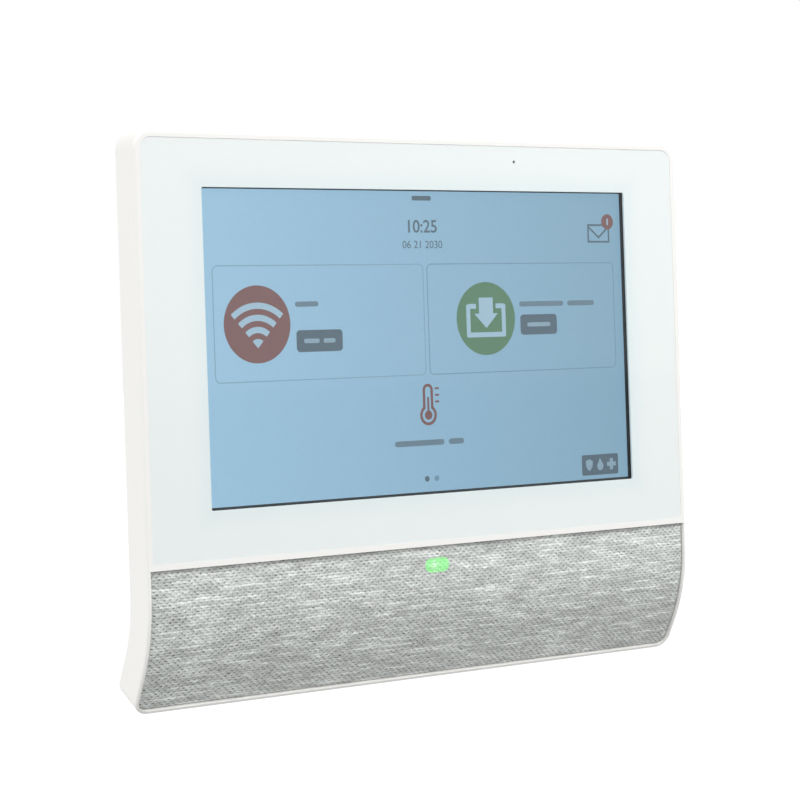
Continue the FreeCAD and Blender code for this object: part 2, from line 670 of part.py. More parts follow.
def tamper_plunger():
    """A pin that the wall holds in while the panel hangs on it, with a round tip."""
    end = FRONT_TO_WALL - CLEAR
    shaft = disc(TAMPER_R, TAMPER_FLANGE + 0.4, end, TAMPER_X, TAMPER_Z)
    tip = [edge for edge in shaft.Edges if edge.BoundBox.YMin > FRONT_Y + end - 0.1]
    shaft = shaft.makeFillet(0.8, tip)
    flange = disc(FLANGE_R, TAMPER_FLANGE, TAMPER_FLANGE + FLANGE_T, TAMPER_X, TAMPER_Z)
    return shaft.fuse(flange).removeSplitter()


def tamper_spring():
    """A helical spring between the board and the plunger's flange."""
    low, high = BOARD_BACK + SPRING_WIRE_R, TAMPER_FLANGE - SPRING_WIRE_R
    pitch = (high - low) / SPRING_TURNS
    helix = Part.Wire(Part.makeHelix(pitch, high - low, SPRING_R))
    heading = FreeCAD.Vector(0, 2 * pi * SPRING_R, pitch).normalize()
    section = Part.Wire(Part.makeCircle(SPRING_WIRE_R, FreeCAD.Vector(SPRING_R, 0, 0), heading))
    coil = helix.makePipeShell([section], True, True)
    coil.rotate(FreeCAD.Vector(0, 0, 0), FreeCAD.Vector(1, 0, 0), -90)
    coil.translate(vec(TAMPER_X, low, TAMPER_Z))
    return coil


def tamper_switch():
    top = BOARD_BACK + SWITCH_T
    body = centred(3.0, 3.0, BOARD_BACK, top, TAMPER_X, TAMPER_Z)
    return body.fuse(disc(0.8, top, top + 0.2, TAMPER_X, TAMPER_Z))


def reset_button():
    cap = disc(RESET_R, RESET_FLANGE + 0.4, RECESS_DEPTH + 0.8, RESET_X, RESET_Z)
    flange = disc(FLANGE_R, RESET_FLANGE, RESET_FLANGE + FLANGE_T, RESET_X, RESET_Z)
    stem = disc(1.1, BOARD_BACK + 1.8, RESET_FLANGE + 0.4, RESET_X, RESET_Z)
    return fused([cap, flange, stem])


def reset_switch():
    top = BOARD_BACK + SWITCH_T
    body = centred(4.5, 4.5, BOARD_BACK, top, RESET_X, RESET_Z)
    return body.fuse(disc(1.0, top, top + 0.3, RESET_X, RESET_Z))


# Fasteners

def screw(x, z, seat, head_t, length):
    """A cross-head screw driven from behind, its head above the depth called seat."""
    head = disc(SCREW_HEAD_R, seat, seat + head_t, x, z)
    shank = disc(SCREW_R - 0.02, seat - length, seat + 0.2, x, z)
    slot = centred(0.6, 2.4, seat + head_t - 0.5, seat + head_t + 1, x, z)
    cross = centred(2.4, 0.6, seat + head_t - 0.5, seat + head_t + 1, x, z)
    return head.fuse(shank).cut(slot).cut(cross).removeSplitter()


def rear_screws():
    return group([screw(x, z, REAR_SCREW_SEAT, 1.3, REAR_SCREW_LENGTH) for x, z in rear_screw_places()])


def frame_screws():
    return group([screw(x, z, FRAME_SCREW_SEAT, 0.8, FRAME_SCREW_LENGTH) for x, z in frame_screw_places()])


def board_screws():
    return group([screw(x, z, BOARD_BACK, 1.2, BOARD_SCREW_LENGTH) for x, z in board_screw_places()])


PARTS = {
    "wall_plate": wall_plate,
    "front_housing": front_housing,
    "rear_cover": rear_cover,
    "cover_glass": cover_glass,
    "border_print": border_print,
    "glass_adhesive": glass_adhesive,
    "touch_sensor": touch_sensor,
    "display_gasket": display_gasket,
    "lcd_panel": lcd_panel,
    "backlight_unit": backlight_unit,
    "mid_frame": mid_frame,
    "main_board": main_board,
    "shield_cans": shield_cans,
    "board_chips": board_chips,
    "heat_spreader": heat_spreader,
    "board_connectors": board_connectors,
    "terminal_block": terminal_block,
    "terminal_screws": terminal_screws,
    "lcd_flex": lcd_flex,
    "touch_flex": touch_flex,
    "radio_card": radio_card,
    "radio_module": radio_module,
    "antennas": antennas,
    "battery_pack": battery_pack,
    "battery_pad": battery_pad,
    "mic_boot": mic_boot,
    "mic_board": mic_board,
    "mic_capsule": mic_capsule,
    "grille_cloth": grille_cloth,
    "grille_frame": grille_frame,
    "light_pipe": light_pipe,
    "led_board": led_board,
    "status_led": status_led,
    "speaker_gasket": speaker_gasket,
    "speaker_basket": speaker_basket,
    "speaker_surround": speaker_surround,
    "speaker_cone": speaker_cone,
    "speaker_magnet": speaker_magnet,
    "tamper_plunger": tamper_plunger,
    "tamper_spring": tamper_spring,
    "tamper_switch": tamper_switch,
    "reset_button": reset_button,
    "reset_switch": reset_switch,
    "rear_screws": rear_screws,
    "frame_screws": frame_screws,
    "board_screws": board_screws,
}

os.makedirs("parts", exist_ok=True)
for node, make in PARTS.items():
    shape = make()
    shape.exportStep("parts/" + node + ".step")
    print(node, shape.isValid(), len(shape.Solids), round(shape.Volume, 1))
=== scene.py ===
"""The looks of a wall-hung touch panel with a cloth-covered sound grille, around its CAD frame."""
import math

import bmesh
import bpy
from mathutils import Matrix, Vector


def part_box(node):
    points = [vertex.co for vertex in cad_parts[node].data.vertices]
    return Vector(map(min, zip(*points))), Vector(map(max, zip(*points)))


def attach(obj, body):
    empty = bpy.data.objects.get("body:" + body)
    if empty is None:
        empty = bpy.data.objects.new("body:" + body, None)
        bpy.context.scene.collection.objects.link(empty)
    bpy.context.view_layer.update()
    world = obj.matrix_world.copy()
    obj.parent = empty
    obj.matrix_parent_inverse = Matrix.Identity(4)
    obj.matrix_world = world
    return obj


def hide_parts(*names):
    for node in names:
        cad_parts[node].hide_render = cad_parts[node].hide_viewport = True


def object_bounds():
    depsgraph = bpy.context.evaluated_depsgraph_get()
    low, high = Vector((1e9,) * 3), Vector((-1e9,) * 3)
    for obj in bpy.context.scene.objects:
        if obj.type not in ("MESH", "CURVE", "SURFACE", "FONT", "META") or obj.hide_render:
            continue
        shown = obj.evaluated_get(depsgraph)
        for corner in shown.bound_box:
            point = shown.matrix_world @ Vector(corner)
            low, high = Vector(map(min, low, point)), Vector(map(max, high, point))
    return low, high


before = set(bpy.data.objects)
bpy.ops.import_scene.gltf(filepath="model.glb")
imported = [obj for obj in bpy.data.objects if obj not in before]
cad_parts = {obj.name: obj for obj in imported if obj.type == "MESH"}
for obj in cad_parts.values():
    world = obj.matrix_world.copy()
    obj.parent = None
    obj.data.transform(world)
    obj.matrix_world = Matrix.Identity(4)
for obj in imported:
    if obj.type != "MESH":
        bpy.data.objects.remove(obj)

CAD_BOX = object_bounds()
MM = 0.001

# The design's curve: the front face runs straight down, bends to the rear and ends in a straight tail
SWEEP_R = 50 * MM
SWEEP_TOP_Z = -49.2 * MM
SWEEP_ANGLE = math.radians(28.5)
FRONT_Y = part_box("front_housing")[0].y

# Woven cloth: thread spacings, thickness and depth, tuck at the edges, rise between them, the grid it is
# made on, colour, relief, lower corners, and the metres in one unit of its flat coordinates
WARP_PITCH, WEFT_PITCH = 0.994 * MM, 0.826 * MM
CLOTH_T = 0.25 * MM
CLOTH_FRONT = 1.13 * MM
TUCK, TUCK_DEPTH = 0.5 * MM, 0.06 * MM
CUSHION, CUSHION_W = 0.45 * MM, 2.5 * MM
CLOTH_COLUMNS, CLOTH_ROWS = 300, 88
CLOTH_TINT = (0.665, 0.69, 0.67, 1)
THREAD_HEIGHT, UNEVEN = 0.18 * MM, 0.012 * MM
LOW_CORNER_R = 3.6 * MM
UV_UNIT = 0.1

# Status light as it shows through the cloth, its ragged edge, and the nearly white patch in it
LIGHT_W, LIGHT_H = 8.8 * MM, 4.4 * MM
LIGHT_X, LIGHT_Z = -0.1 * MM, -47.5 * MM
LIGHT_RAGGED, LIGHT_SOFT = 0.25 * MM, 0.15 * MM
HOT_X, HOT_W = -1.1 * MM, 3.2 * MM

# Cover glass: corner radii, rounded edge, and its depth and thickness, both less than in the CAD, so that
# the rim casts less shadow on the print behind it. The print is a little larger than the glass
GLASS_TOP_R, GLASS_LOW_R = 3.6 * MM, 0.4 * MM
SHEET_EDGE = 0.02 * MM
GLASS_FRONT, GLASS_SEEN = 0.03 * MM, 0.06 * MM
PRINT_BEHIND, PRINT_OUTSET = 0.02 * MM, 0.05 * MM
PINHOLE_R = 0.5 * MM
PINHOLE = (33.9 * MM, 74.7 * MM)

# Screen: the window, the width of the print's tinted edge round it, the picture's edges measured from the
# window's centre, and the layers its drawing is on
WINDOW_Z = (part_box("lcd_panel")[0].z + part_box("lcd_panel")[1].z) / 2
WINDOW_X = -0.26 * MM
WINDOW_R = 0.5 * MM
NEAR_WINDOW = 7 * MM
WINDOW_HALF_W, WINDOW_HALF_H = 78.05 * MM, 45.88 * MM
PICTURE = (-77.85 * MM, 77.64 * MM, -45.2 * MM, 45.62 * MM)
PICTURE_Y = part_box("lcd_panel")[0].y - 0.05 * MM
LAYER = 0.06 * MM
PLATE_T = 0.03 * MM

# The lit background's colour at its left and right edges
SCREEN_LEFT, SCREEN_RIGHT = (0.330, 0.548, 0.735), (0.230, 0.395, 0.530)

# Stage, in metres: the floor, where its glow behind the object starts and ends, and how bright the sky is
# as a light
FLOOR_BELOW, FLOOR_REACH = 0.25, 20.0
GLOW_FROM, GLOW_TO, FLOOR_GLOW = 0.05, 0.7, 0.8
SKY_LIGHT = 0.67


# Small helpers

def srgb(red, green, blue):
    """A colour given in 0 to 255 display values, as linear light."""
    def linear(value):
        value /= 255
        return value / 12.92 if value <= 0.04045 else ((value + 0.055) / 1.055) ** 2.4
    return (linear(red), linear(green), linear(blue), 1.0)


def new_object(name, mesh, body="panel"):
    piece = bpy.data.objects.new(name, mesh)
    bpy.context.scene.collection.objects.link(piece)
    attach(piece, body)
    return piece


def give(thing, material):
    """Puts one material on a piece, in place of what it had."""
    thing.data.materials.clear()
    thing.data.materials.append(material)
    for slot in thing.material_slots:
        slot.link = "DATA"


class Tree:
    """A material under construction, with short calls for the nodes used here."""

    def __init__(self, name):
        self.material = bpy.data.materials.new(name)
        self.material.use_nodes = True
        self.nodes = self.material.node_tree.nodes
        self.links = self.material.node_tree.links
        self.surface = self.nodes["Principled BSDF"]
        self.output = self.nodes["Material Output"]

    def put(self, socket, value):
        if hasattr(value, "is_output"):
            self.links.new(value, socket)
        elif value is not None:
            socket.default_value = value

    def node(self, kind, inputs=(), **settings):
        node = self.nodes.new(kind)
        for key, value in settings.items():
            setattr(node, key, value)
        for key, value in dict(inputs).items():
            self.put(node.inputs[key], value)
        return node

    def math(self, operation, a, b=None, c=None):
        node = self.nodes.new("ShaderNodeMath")
        node.operation = operation
        for socket, value in zip(node.inputs, (a, b, c)):
            self.put(socket, value)
        return node.outputs[0]

    def product(self, first, *others):
        for other in others:
            first = self.math("MULTIPLY", first, other)
        return first

    def combined(self, x, y, z=0.0):
        return self.node("ShaderNodeCombineXYZ", {"X": x, "Y": y, "Z": z}).outputs[0]

    def random(self, vector):
        """A random value for each different vector."""
        node = self.node("ShaderNodeTexWhiteNoise", {"Vector": vector}, noise_dimensions="2D")
        return node.outputs["Value"]

    def apart(self, a, b):
        return self.math("ABSOLUTE", self.math("SUBTRACT", a, b))

    def position(self):
        return self.node("ShaderNodeTexCoord").outputs["Object"]

    def stretched(self, vector, x, y, z):
        node = self.node("ShaderNodeMapping", {"Scale": (x, y, z)})
        self.links.new(vector, node.inputs["Vector"])
        return node.outputs[0]

    def noise(self, vector, scale, detail=3.0, roughness=0.5):
        inputs = {"Vector": vector, "Scale": scale, "Detail": detail, "Roughness": roughness}
        return self.node("ShaderNodeTexNoise", inputs).outputs["Fac"]

    def ramp(self, value, low, high, to_low=0.0, to_high=1.0, smooth=False):
        inputs = {"Value": value, "From Min": low, "From Max": high, "To Min": to_low, "To Max": to_high}
        kind = "SMOOTHSTEP" if smooth else "LINEAR"
        return self.node("ShaderNodeMapRange", inputs, interpolation_type=kind).outputs["Result"]

    def mix(self, factor, a, b, mode="MIX"):
        node = self.node("ShaderNodeMix", data_type="RGBA", blend_type=mode)
        self.put(node.inputs["Factor"], factor)
        self.put(node.inputs[6], a)
        self.put(node.inputs[7], b)
        return node.outputs[2]

    def bump(self, height, strength, distance):
        inputs = {"Height": height, "Strength": strength, "Distance": distance}
        return self.node("ShaderNodeBump", inputs).outputs[0]

    def set(self, **values):
        for key, value in values.items():
            self.put(self.surface.inputs[key.replace("_", " ")], value)


def shade(colour, amount):
    return tuple(channel * amount for channel in colour[:3]) + (1.0,)


# Materials

def moulded(name, colour, roughness=0.42, grain=2600, depth=0.02, drift=0.02):
    """Moulded plastic: a fine spark texture, slightly uneven gloss and a faint drift of colour."""
    tree = Tree(name)
    position = tree.position()
    fine = tree.noise(position, grain, 4, 0.6)
    broad = tree.noise(position, 30, 3)
    tint = tree.mix(tree.ramp(broad, 0.3, 0.7), shade(colour, 1 - drift), shade(colour, 1 + drift))
    tree.set(Base_Color=tint, Roughness=tree.ramp(fine, 0.3, 0.7, roughness - 0.04, roughness + 0.05))
    tree.set(Normal=tree.bump(fine, 0.25, depth * MM))
    return tree.material


def brushed(name, colour, roughness=0.34, metallic=1.0, along="X"):
    """Sheet metal with fine brush lines."""
    tree = Tree(name)
    scale = {"X": (60, 2400, 2400), "Z": (2400, 2400, 60)}[along]
    lines = tree.noise(tree.stretched(tree.position(), *scale), 1.0, 3)
    stains = tree.noise(tree.position(), 90, 3)
    tint = tree.mix(tree.ramp(stains, 0.3, 0.7), shade(colour, 0.9), shade(colour, 1.05))
    tree.set(Base_Color=tint, Metallic=metallic)
    tree.set(Roughness=tree.ramp(lines, 0.3, 0.7, roughness - 0.08, roughness + 0.1))
    tree.set(Normal=tree.bump(lines, 0.3, 0.01 * MM))
    return tree.material


def circuit_board(name, colour):
    """Solder mask over copper tracks, with rows of round pads."""
    tree = Tree(name)
    position = tree.position()
    tracks = tree.node("ShaderNodeTexBrick", {"Vector": tree.stretched(position, 420, 420, 420), "Scale": 1.0,
                       "Mortar Size": 0.06, "Color1": (1, 1, 1, 1), "Color2": (0.6, 0.6, 0.6, 1),
                       "Mortar": (0, 0, 0, 1)}).outputs["Color"]
    pads = tree.node("ShaderNodeTexVoronoi", {"Vector": position, "Scale": 420}).outputs["Distance"]
    copper = tree.ramp(pads, 0.16, 0.2, 1, 0)
    mask = tree.mix(tracks, shade(colour, 0.72), shade(colour, 1.1))
    tree.set(Base_Color=tree.mix(copper, mask, srgb(196, 160, 92)), Roughness=0.36)
    tree.set(Normal=tree.bump(tree.math("ADD", tracks, copper), 0.4, 0.03 * MM))
    return tree.material


def white_ink():
    """The opaque white print behind the glass, faintly green as seen through it."""
    tree = Tree("white_ink")
    position = tree.position()
    speckle = tree.noise(position, 1500, 3)
    broad = tree.noise(position, 14, 2)
    parts = tree.node("ShaderNodeSeparateXYZ", {"Vector": position}).outputs
    past_x = tree.math("SUBTRACT", tree.math("ABSOLUTE", parts[0]), WINDOW_HALF_W)
    past_z = tree.math("SUBTRACT", tree.apart(parts[2], WINDOW_Z), WINDOW_HALF_H)
    from_window = tree.ramp(tree.math("MAXIMUM", past_x, past_z), 0, NEAR_WINDOW)
    tint = tree.mix(tree.ramp(broad, 0.3, 0.7), (0.895, 0.905, 0.912, 1), (0.905, 0.915, 0.918, 1))
    tint = tree.mix(from_window, (0.83, 0.88, 0.895, 1), tint)
    tree.set(Base_Color=tint, Roughness=tree.ramp(speckle, 0.2, 0.8, 0.45, 0.6))
    tree.set(Normal=tree.bump(speckle, 0.1, 0.01 * MM))
    return tree.material


def clear_sheet(name, tint, roughness, gloss=1.0):
    """Thin flat glass: it mirrors at its surface by angle and lets the rest through unbent."""
    tree = Tree(name)
    tree.nodes.remove(tree.surface)
    smears = tree.noise(tree.position(), 45, 4, 0.6)
    mirror = tree.node("ShaderNodeBsdfGlossy", {"Color": (gloss, gloss, gloss, 1)})
    tree.put(mirror.inputs["Roughness"], tree.ramp(smears, 0.3, 0.7, roughness, roughness + 0.05))
    through = tree.node("ShaderNodeBsdfTransparent", {"Color": tint})
    graze = tree.node("ShaderNodeLayerWeight", {"Blend": 0.5}).outputs["Facing"]
    outward = tree.math("SUBTRACT", 1.0, tree.node("ShaderNodeNewGeometry").outputs["Backfacing"])
    fresnel = tree.math("MULTIPLY_ADD", tree.math("POWER", graze, 5.0), 0.96, 0.04)
    mirrored = tree.product(fresnel, outward)
    both = tree.node("ShaderNodeMixShader")
    tree.links.new(mirrored, both.inputs[0])
    tree.links.new(through.outputs[0], both.inputs[1])
    tree.links.new(mirror.outputs[0], both.inputs[2])
    tree.links.new(both.outputs[0], tree.output.inputs["Surface"])
    return tree.material


def lit_picture():
    """The screen's lit background: a blue that fades a little to the right, with its film's fine grain."""
    tree = Tree("lit_picture")
    position = tree.position()
    across = tree.node("ShaderNodeSeparateXYZ", {"Vector": position}).outputs[0]
    fade = tree.ramp(across, PICTURE[0], PICTURE[1])
    grain = tree.noise(position, 2400, 2)
    colour = tree.mix(fade, SCREEN_LEFT + (1,), SCREEN_RIGHT + (1,))
    sparkle = tree.ramp(grain, 0.3, 0.7, 0.96, 1.04)
    tree.set(Base_Color=(0.02, 0.02, 0.022, 1), Roughness=0.35)
    tree.set(Emission_Color=tree.mix(1.0, colour, tree.combined(sparkle, sparkle, sparkle), "MULTIPLY"))
    tree.set(Emission_Strength=1.0)
    return tree.material


def lit(name, colour):
    """A drawn part of the picture, with the same film grain."""
    tree = Tree(name)
    grain = tree.noise(tree.position(), 2400, 2)
    tree.set(Base_Color=(0.02, 0.02, 0.022, 1), Roughness=0.35)
    tree.set(Emission_Color=tree.mix(tree.ramp(grain, 0.3, 0.7), shade(colour, 0.95), shade(colour, 1.05)))
    tree.set(Emission_Strength=1.0)
    return tree.material


def woven_cloth():
    """Heather grey plain weave with pale slubs, dark flecks of fibre and painted shade, painted shade along
    its gaps and rows, lit green over the status light.
    """
    tree = Tree("woven_cloth")
    flat = tree.node("ShaderNodeUVMap", uv_map="weave").outputs[0]
    side, run = tree.node("ShaderNodeSeparateXYZ", {"Vector": flat}).outputs[:2]
    shift = tree.ramp(tree.noise(flat, 60, 2), 0.3, 0.7, -0.35, 0.35)
    across = tree.math("MULTIPLY_ADD", side, UV_UNIT / WARP_PITCH, shift)
    down = tree.math("MULTIPLY_ADD", run, UV_UNIT / WEFT_PITCH, tree.product(shift, 0.6))
    row_crown = roundness(tree, tree.math("FRACT", down))
    fibres = tree.noise(tree.stretched(flat, 13, 300, 1), 1.0, 3, 0.7)

    lines, dot = thread_gaps(tree, across, down)
    slub_at = tree.combined(tree.product(across, 0.08), tree.product(tree.math("FLOOR", down), 7.31))
    slub = tree.noise(slub_at, 1.0, 3, 0.6)
    streak = tree.ramp(slub, 0.56, 0.64)

    # How light each thread is: broad bands, fibres, slubs and single floats, and the shaded lines
    band_at = tree.combined(tree.product(across, 0.05), tree.product(down, 0.5))
    band = tree.ramp(tree.noise(band_at, 1.0, 3, 0.6), 0.35, 0.65, 0.95, 1.04)
    cell = tree.combined(tree.math("FLOOR", across), tree.math("ADD", tree.math("FLOOR", down), 0.5))
    fibre_tone = tree.ramp(fibres, 0.35, 0.65, 0.80, 1.18)
    slub_tone = tree.ramp(slub, 0.40, 0.62, 0.85, 1.22)
    float_tone = tree.ramp(tree.random(cell), 0, 1, 0.86, 1.12)
    thread = tree.product(band, fibre_tone, slub_tone, float_tone)
    faint = tree.ramp(streak, 0, 1, 0.34, 0.10)
    for line in lines:
        thread = tree.product(thread, tree.math("SUBTRACT", 1.0, tree.product(line, faint)))

    # How dark each dot is, as dark fibre and painted shade in its hole: at random, in patches, less on a
    # slub, and more where the cloth leans back, which is painted shade too
    corner = tree.combined(tree.math("ROUND", across), tree.math("ROUND", down))
    patch = tree.ramp(tree.noise(flat, 12, 3, 0.6), 0.35, 0.65, -0.15, 0.15)
    open_share = tree.math("ADD", tree.random(corner), patch)
    on_slub = tree.ramp(streak, 0, 1, 1.0, 0.3)
    # Painted shade: the dots grow darker further down, where the cloth leans back from the light
    lean_back_shade = tree.ramp(run, 0.05, 0.30, 1.0, 1.8)
    depth = tree.product(tree.ramp(open_share, 0.25, 0.75, 0.05, 1.0), on_slub, lean_back_shade)
    dot_fibre_and_shade = tree.ramp(tree.product(dot, depth), 0.03, 0.38, 1.0, 0.02)
    # Painted shade across each weft row: darker at the thread's sides than along its crown
    row_shade = tree.ramp(row_crown, 0.0, 0.9, 0.78, 1.05)
    tone = tree.product(thread, dot_fibre_and_shade, row_shade)
    colour = tree.mix(1.0, tree.combined(tone, tone, tone), CLOTH_TINT, "MULTIPLY")

    glow = status_glow(tree, side, run, fibres)
    through = tree.product(tree.ramp(tone, 0.3, 1.1, 0.55, 1.05), glow)
    tree.set(Base_Color=tree.mix(glow, colour, (0.10, 0.20, 0.10, 1)), Roughness=0.9)
    tree.set(Sheen_Weight=0.25, Sheen_Roughness=0.5)
    tree.set(Emission_Color=glow_colour(tree, flat, side, run), Emission_Strength=through)
    tree.set(Normal=tree.bump(thread_height(tree, across, down), 0.7, THREAD_HEIGHT))
    return tree.material


def roundness(tree, fraction):
    """0 at both sides of a thread and 1 along its middle."""
    return tree.math("SINE", tree.product(fraction, math.pi))


def thread_height(tree, across, down):
    """The weave's relief: each weft and warp thread rises over every second crossing."""
    def crown(along, other):
        angle = tree.product(tree.math("ADD", tree.math("SUBTRACT", along, 0.5), other), math.pi)
        return tree.math("MULTIPLY_ADD", tree.math("COSINE", angle), 0.5, 0.5)

    column, row = tree.math("FLOOR", across), tree.math("FLOOR", down)
    weft_crown = tree.ramp(crown(across, row), 0, 1, 0.45, 1.0)
    weft = tree.product(roundness(tree, tree.math("FRACT", down)), weft_crown)
    warp_crown = tree.ramp(crown(down, tree.math("ADD", column, 1)), 0, 1, 0.2, 0.9)
    warp = tree.product(roundness(tree, tree.math("FRACT", across)), warp_crown)
    return tree.math("MAXIMUM", weft, warp)


def thread_gaps(tree, across, down):
    """The gaps join up in slanting lines, both ways, with a dark dot wherever two lines cross. The lines are
    painted shade, the dots dark fibre and painted shade.
    """
    rising = tree.math("PINGPONG", tree.product(tree.math("ADD", across, down), 0.5), 0.5)
    falling = tree.math("PINGPONG", tree.product(tree.math("SUBTRACT", across, down), 0.5), 0.5)
    lines = [tree.ramp(line, 0.0, 0.15, 1, 0, smooth=True) for line in (rising, falling)]
    near = [tree.ramp(line, 0.0, 0.19, 1, 0, smooth=True) for line in (rising, falling)]
    return lines, tree.product(*near)


def status_glow(tree, side, run, fibres):
    """1 over the pill-shaped light, 0 elsewhere, with an edge broken up by the threads."""
    x = tree.math("SUBTRACT", tree.product(side, UV_UNIT), LIGHT_X)
    y = tree.math("SUBTRACT", tree.product(run, UV_UNIT), along_front(LIGHT_Z))
    past_straight = tree.math("SUBTRACT", tree.math("ABSOLUTE", x), (LIGHT_W - LIGHT_H) / 2)
    beyond = tree.math("MAXIMUM", past_straight, 0.0)
    squares = tree.math("ADD", tree.math("POWER", beyond, 2.0), tree.math("POWER", y, 2.0))
    distance = tree.math("SQRT", squares)
    ragged = tree.math("ADD", distance, tree.ramp(fibres, 0.3, 0.7, -LIGHT_RAGGED, LIGHT_RAGGED))
    return tree.ramp(ragged, LIGHT_H / 2 - LIGHT_SOFT, LIGHT_H / 2 + LIGHT_SOFT, 1, 0)


def glow_colour(tree, flat, side, run):
    """Green, nearly white in ragged spots round the brightest point."""
    off_side = tree.apart(side, HOT_X / UV_UNIT)
    off_run = tree.apart(run, along_front(LIGHT_Z) / UV_UNIT)
    off_centre = tree.math("ADD", off_side, off_run)
    fall = tree.ramp(off_centre, 0, HOT_W / UV_UNIT, -0.04, 0.20)
    hot = tree.ramp(tree.math("SUBTRACT", tree.noise(flat, 170, 2, 0.6), fall), 0.42, 0.50)
    return tree.mix(hot, (0.27, 0.82, 0.28, 1), (0.72, 0.90, 0.72, 1))


# The curved front

def along_front(z):
    """Distance along the front curve, from where it starts to bend to a height."""
    if z > SWEEP_TOP_Z:
        return SWEEP_TOP_Z - z
    return SWEEP_R * math.asin(min((SWEEP_TOP_Z - z) / SWEEP_R, math.sin(SWEEP_ANGLE)))


def front_point(x, run, inset):
    """The point at a distance along the front curve and an inset behind it."""
    angle = min(max(run / SWEEP_R, 0.0), SWEEP_ANGLE)
    spare = run - angle * SWEEP_R
    reach = SWEEP_R - inset
    y = FRONT_Y + SWEEP_R - reach * math.cos(angle) + spare * math.sin(angle)
    z = SWEEP_TOP_Z - reach * math.sin(angle) - spare * math.cos(angle)
    return Vector((x, y, z))


def grid_mesh(name, columns, rows, place):
    """A sheet of quads whose points come from place(column, row)."""
    mesh = bpy.data.meshes.new(name)
    points = [place(i, j) for j in range(rows + 1) for i in range(columns + 1)]
    wide = columns + 1
    faces = [(j * wide + i, (j + 1) * wide + i, (j + 1) * wide + i + 1, j * wide + i + 1)
             for j in range(rows) for i in range(columns)]
    mesh.from_pydata(points, [], faces)
    return mesh


def speaker_cloth():
    """One woven sheet stretched over the grille frame, its edges tucked in all round."""
    low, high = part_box("grille_cloth")
    top = along_front(high.z)
    drop = SWEEP_TOP_Z - (SWEEP_R - CLOTH_FRONT) * math.sin(SWEEP_ANGLE) - low.z
    bottom = SWEEP_R * SWEEP_ANGLE + drop / math.cos(SWEEP_ANGLE)
    half = high.x

    def eased(t):
        """Packs grid lines towards both ends, where the cloth turns in."""
        return t - math.sin(2 * math.pi * t) / (2 * math.pi) * 0.5

    def half_width(run):
        reach = LOW_CORNER_R - (bottom - run)
        if reach <= 0:
            return half
        return half - LOW_CORNER_R + math.sqrt(max(LOW_CORNER_R ** 2 - reach ** 2, 0.0))

    def inset(x, run):
        edge = min(half_width(run) - abs(x), run - top, bottom - run)
        lack = min(max(1 - edge / TUCK, 0.0), 1.0)
        fold = TUCK_DEPTH * (1 - math.sqrt(1 - lack * lack))
        rise = min(max(edge / CUSHION_W, 0.0), 1.0)
        fold -= CUSHION * rise * (2 - rise)
        uneven = UNEVEN * math.sin(run * 5200) * math.sin(x * 310 + run * 900)
        return CLOTH_FRONT + fold + uneven

    def flat_place(i, j):
        run = top + (bottom - top) * eased(j / CLOTH_ROWS)
        return half_width(run) * (2 * eased(i / CLOTH_COLUMNS) - 1), run

    def place(i, j):
        x, run = flat_place(i, j)
        return front_point(x, run, inset(x, run))

    mesh = grid_mesh("speaker_cloth", CLOTH_COLUMNS, CLOTH_ROWS, place)
    layer = mesh.uv_layers.new(name="weave")
    for loop in mesh.loops:
        j, i = divmod(loop.vertex_index, CLOTH_COLUMNS + 1)
        x, run = flat_place(i, j)
        layer.data[loop.index].uv = (x / UV_UNIT, run / UV_UNIT)
    mesh.shade_smooth()
    cloth = new_object("speaker_cloth", mesh)
    thick = cloth.modifiers.new("thickness", "SOLIDIFY")
    thick.thickness = CLOTH_T
    thick.offset = -1
    give(cloth, woven_cloth())
    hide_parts("grille_cloth")


# Cover glass

def glass_outline(inset=0.0):
    low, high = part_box("cover_glass")
    corners = ((high.x, high.z, GLASS_TOP_R, 0), (low.x, high.z, GLASS_TOP_R, 90),
               (low.x, low.z, GLASS_LOW_R, 180), (high.x, low.z, GLASS_LOW_R, 270))
    points = []
    for x, z, radius, start in corners:
        centre_x, centre_z = x - math.copysign(radius, x), z - math.copysign(radius, z)
        points += arc(centre_x, centre_z, radius - inset, start, start + 90, 12)
    return points


def mesh_of(name, curve):
    """The mesh that a curve or a text makes."""
    helper = bpy.data.objects.new(name, curve)
    bpy.context.scene.collection.objects.link(helper)
    bpy.context.view_layer.update()
    mesh = bpy.data.meshes.new_from_object(helper.evaluated_get(bpy.context.evaluated_depsgraph_get()))
    bpy.data.objects.remove(helper)
    return mesh


def flat_sheet(name, rings, front, back, replaced, material):
    """A flat sheet between two depths, from an outline and its holes, with rounded edges."""
    build = bpy.data.curves.new(name, "CURVE")
    build.dimensions = "2D"
    build.fill_mode = "BOTH"
    for ring in rings:
        line = build.splines.new("POLY")
        line.points.add(len(ring) - 1)
        for point, (x, z) in zip(line.points, ring):
            point.co = (x, z, 0, 1)
        line.use_cyclic_u = True
    build.offset = -SHEET_EDGE
    build.bevel_depth = SHEET_EDGE
    build.bevel_resolution = 2
    build.extrude = (back - front) / 2 - SHEET_EDGE
    mesh = mesh_of(name + "_curve", build)
    mesh.transform(Matrix.Translation((0, (back + front) / 2, 0)) @ Matrix.Rotation(math.pi / 2, 4, "X"))
    weld = bmesh.new()
    weld.from_mesh(mesh)
    bmesh.ops.remove_doubles(weld, verts=weld.verts, dist=0.001 * MM)
    bmesh.ops.recalc_face_normals(weld, faces=weld.faces)
    weld.to_mesh(mesh)
    weld.free()
    mesh.materials.clear()
    piece = new_object(name, mesh)
    give(piece, material)
    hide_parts(replaced)


